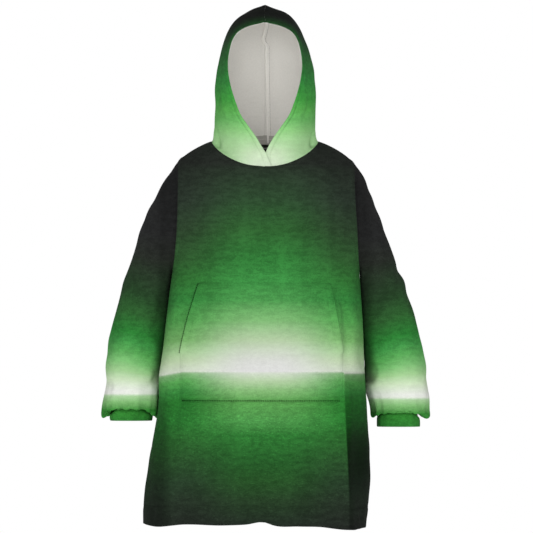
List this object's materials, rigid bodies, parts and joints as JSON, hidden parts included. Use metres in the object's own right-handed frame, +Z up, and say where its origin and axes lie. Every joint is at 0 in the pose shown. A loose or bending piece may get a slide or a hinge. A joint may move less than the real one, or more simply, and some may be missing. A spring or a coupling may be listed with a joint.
{
  "type": "oversized hooded fleece top",
  "caption": "Long, loose hooded fleece pullover with a kangaroo pocket, dropped shoulders and gathered cuffs, held open as when worn.",
  "frame": {"origin": "middle of the neck at the height of the shoulders' highest point, where the wearer carries the garment", "axes": "+Z up the wearer's body, the front faces -Y, +X is the wearer's left"},
  "size_m": [0.788, 0.303, 1.2458],
  "materials": {
    "printed_fleece": "matt brushed polyester fleece with a soft vertical colour gradient",
    "hood_lining": "plain brushed lining, light warm grey",
    "neck_tape": "flat twill tape, grey"
  },
  "bodies": {
    "root": {"front_panel": "printed_fleece", "back_panel": "printed_fleece", "sleeve_left": "printed_fleece", "sleeve_right": "printed_fleece", "cuff_left": "printed_fleece", "cuff_right": "printed_fleece", "hood_left": "printed_fleece", "hood_right": "printed_fleece", "hood_lining_left": "hood_lining", "hood_lining_right": "hood_lining", "neck_tape": "neck_tape", "pocket": "printed_fleece"}
  },
  "joints": []
}
